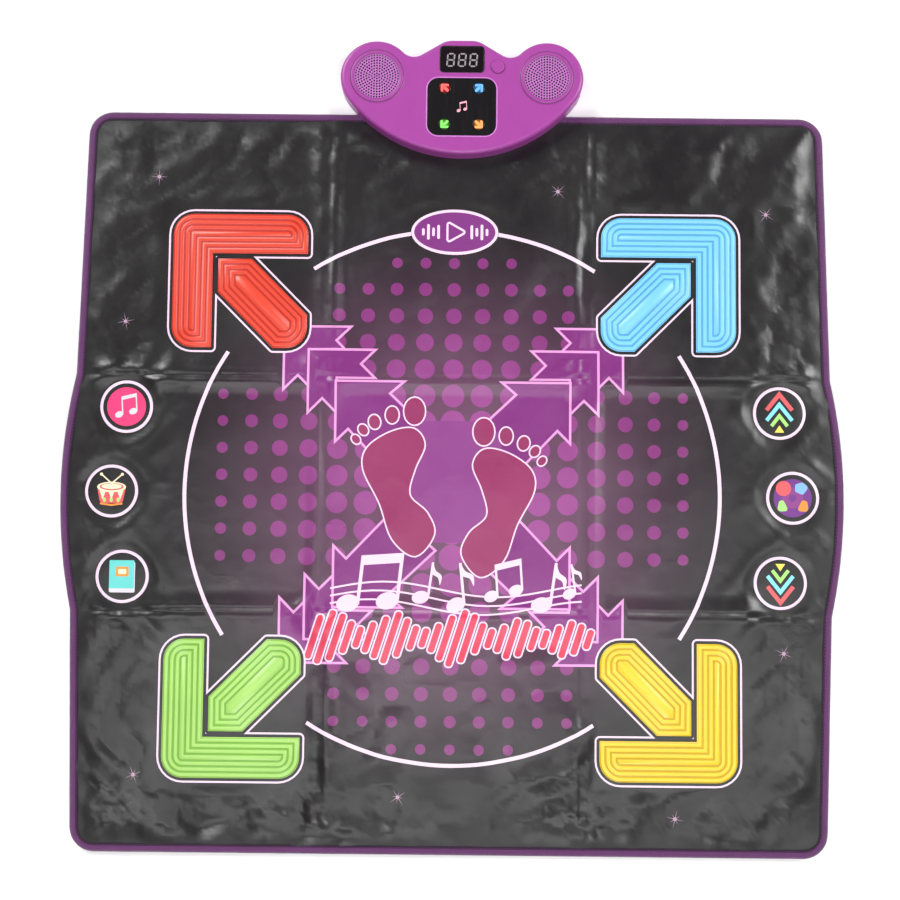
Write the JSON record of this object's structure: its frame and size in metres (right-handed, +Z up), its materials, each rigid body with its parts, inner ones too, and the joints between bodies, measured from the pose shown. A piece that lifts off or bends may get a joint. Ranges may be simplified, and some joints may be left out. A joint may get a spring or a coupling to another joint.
{
  "type": "electronic dance mat",
  "caption": "Folding padded vinyl dance mat with raised arrow pads, round menu pads and a twin-speaker sound console on its top edge.",
  "frame": {"origin": "on the floor under the middle of the mat's outline, console not counted", "axes": "+X to the dancer's right, +Y towards the console, +Z up"},
  "size_m": [0.9778, 1.015, 0.036],
  "materials": {
    "black_vinyl": "gloss",
    "grey_fabric": "matte",
    "foam": "matte",
    "clear_film": "satin",
    "purple_tape": "satin",
    "red_vinyl": "satin",
    "blue_vinyl": "satin",
    "green_vinyl": "satin",
    "yellow_vinyl": "satin",
    "purple_vinyl": "satin",
    "charcoal_vinyl": "satin",
    "purple_plastic": "gloss",
    "black_plastic": "gloss",
    "smoked_window": "gloss",
    "red_lens": "gloss",
    "blue_lens": "gloss",
    "green_lens": "gloss",
    "orange_lens": "gloss",
    "steel": "satin",
    "paper_cone": "matte",
    "circuit_board": "satin",
    "components": "satin",
    "battery_wrap": "gloss",
    "cable_white": "satin",
    "rubber": "matte"
  },
  "bodies": {
    "mat_middle": {"top_sheet_middle_row": "black_vinyl", "base_sheet_middle_row": "grey_fabric", "foam_middle_row": "foam", "sensor_film_middle_row": "clear_film", "binding_middle_row": "purple_tape"},
    "mat_bottom": {"top_sheet_bottom_row": "black_vinyl", "base_sheet_bottom_row": "grey_fabric", "foam_bottom_row": "foam", "sensor_film_bottom_row": "clear_film", "binding_bottom_row": "purple_tape"},
    "mat_top": {"top_sheet_top_row": "black_vinyl", "base_sheet_top_row": "grey_fabric", "foam_top_row": "foam", "sensor_film_top_row": "clear_film", "binding_top_row": "purple_tape", "upper_shell": "purple_plastic", "lower_shell": "purple_plastic", "face_panel": "black_plastic", "display_window": "smoked_window", "display_module": "black_plastic", "arrow_light_red": "red_lens", "arrow_light_blue": "blue_lens", "arrow_light_green": "green_lens", "arrow_light_orange": "orange_lens", "speaker_grille_left": "purple_plastic", "speaker_grille_right": "purple_plastic", "speaker_frame_left": "steel", "speaker_frame_right": "steel", "speaker_cone_left": "paper_cone", "speaker_cone_right": "paper_cone", "power_switch": "black_plastic", "main_board": "circuit_board", "board_components": "components", "battery_cells": "battery_wrap", "battery_contacts": "steel", "housing_screws": "steel", "board_screws": "steel", "clamp_bar": "black_plastic", "clamp_screws": "steel", "flat_cable": "cable_white", "speaker_wires": "cable_white", "rubber_feet": "rubber"},
    "arrow_red": {"arrow_red_chevron": "red_vinyl", "arrow_red_stem": "red_vinyl"},
    "arrow_blue": {"arrow_blue_chevron": "blue_vinyl", "arrow_blue_stem": "blue_vinyl"},
    "arrow_green": {"arrow_green_chevron": "green_vinyl", "arrow_green_stem": "green_vinyl"},
    "arrow_yellow": {"arrow_yellow_chevron": "yellow_vinyl", "arrow_yellow_stem": "yellow_vinyl"},
    "start_pad": {"start_pad": "purple_vinyl"},
    "left_pad_upper": {"left_pad_upper": "charcoal_vinyl"},
    "left_pad_middle": {"left_pad_middle": "charcoal_vinyl"},
    "left_pad_lower": {"left_pad_lower": "charcoal_vinyl"},
    "right_pad_upper": {"right_pad_upper": "charcoal_vinyl"},
    "right_pad_middle": {"right_pad_middle": "charcoal_vinyl"},
    "right_pad_lower": {"right_pad_lower": "charcoal_vinyl"},
    "power_button": {"power_button": "purple_plastic"},
    "battery_door": {"battery_door": "purple_plastic", "battery_door_screw": "steel"}
  },
  "joints": [
    {"name": "fold_top", "type": "hinge", "parent": "mat_middle", "child": "mat_top", "pos_m": [0, 0.1275, 0.0175], "axis": [1, 0, 0], "range_deg": [0, 174]},
    {"name": "fold_bottom", "type": "hinge", "parent": "mat_middle", "child": "mat_bottom", "pos_m": [0, -0.1675, 0.0115], "axis": [-1, 0, 0], "range_deg": [0, 180]},
    {"name": "press_red", "type": "slide", "parent": "mat_top", "child": "arrow_red", "axis": [0, 0, -1], "range_m": [0, 0.002], "stiffness_N_per_m": 1500, "springref_m": -0.001},
    {"name": "press_blue", "type": "slide", "parent": "mat_top", "child": "arrow_blue", "axis": [0, 0, -1], "range_m": [0, 0.002], "stiffness_N_per_m": 1500, "springref_m": -0.001},
    {"name": "press_green", "type": "slide", "parent": "mat_bottom", "child": "arrow_green", "axis": [0, 0, -1], "range_m": [0, 0.002], "stiffness_N_per_m": 1500, "springref_m": -0.001},
    {"name": "press_yellow", "type": "slide", "parent": "mat_bottom", "child": "arrow_yellow", "axis": [0, 0, -1], "range_m": [0, 0.002], "stiffness_N_per_m": 1500, "springref_m": -0.001},
    {"name": "press_start", "type": "slide", "parent": "mat_top", "child": "start_pad", "axis": [0, 0, -1], "range_m": [0, 0.0015], "stiffness_N_per_m": 600, "springref_m": -0.0008},
    {"name": "press_left_pad_upper", "type": "slide", "parent": "mat_middle", "child": "left_pad_upper", "axis": [0, 0, -1], "range_m": [0, 0.0015], "stiffness_N_per_m": 500, "springref_m": -0.0008},
    {"name": "press_left_pad_middle", "type": "slide", "parent": "mat_middle", "child": "left_pad_middle", "axis": [0, 0, -1], "range_m": [0, 0.0015], "stiffness_N_per_m": 500, "springref_m": -0.0008},
    {"name": "press_left_pad_lower", "type": "slide", "parent": "mat_middle", "child": "left_pad_lower", "axis": [0, 0, -1], "range_m": [0, 0.0015], "stiffness_N_per_m": 500, "springref_m": -0.0008},
    {"name": "press_right_pad_upper", "type": "slide", "parent": "mat_middle", "child": "right_pad_upper", "axis": [0, 0, -1], "range_m": [0, 0.0015], "stiffness_N_per_m": 500, "springref_m": -0.0008},
    {"name": "press_right_pad_middle", "type": "slide", "parent": "mat_middle", "child": "right_pad_middle", "axis": [0, 0, -1], "range_m": [0, 0.0015], "stiffness_N_per_m": 500, "springref_m": -0.0008},
    {"name": "press_right_pad_lower", "type": "slide", "parent": "mat_middle", "child": "right_pad_lower", "axis": [0, 0, -1], "range_m": [0, 0.0015], "stiffness_N_per_m": 500, "springref_m": -0.0008},
    {"name": "press_power", "type": "slide", "parent": "mat_top", "child": "power_button", "axis": [0, 0, -1], "range_m": [0, 0.0012], "stiffness_N_per_m": 200, "springref_m": -0.0008},
    {"name": "battery_door_off", "type": "slide", "parent": "mat_top", "child": "battery_door", "axis": [0, 0, -1], "range_m": [0, 0.025]}
  ]
}
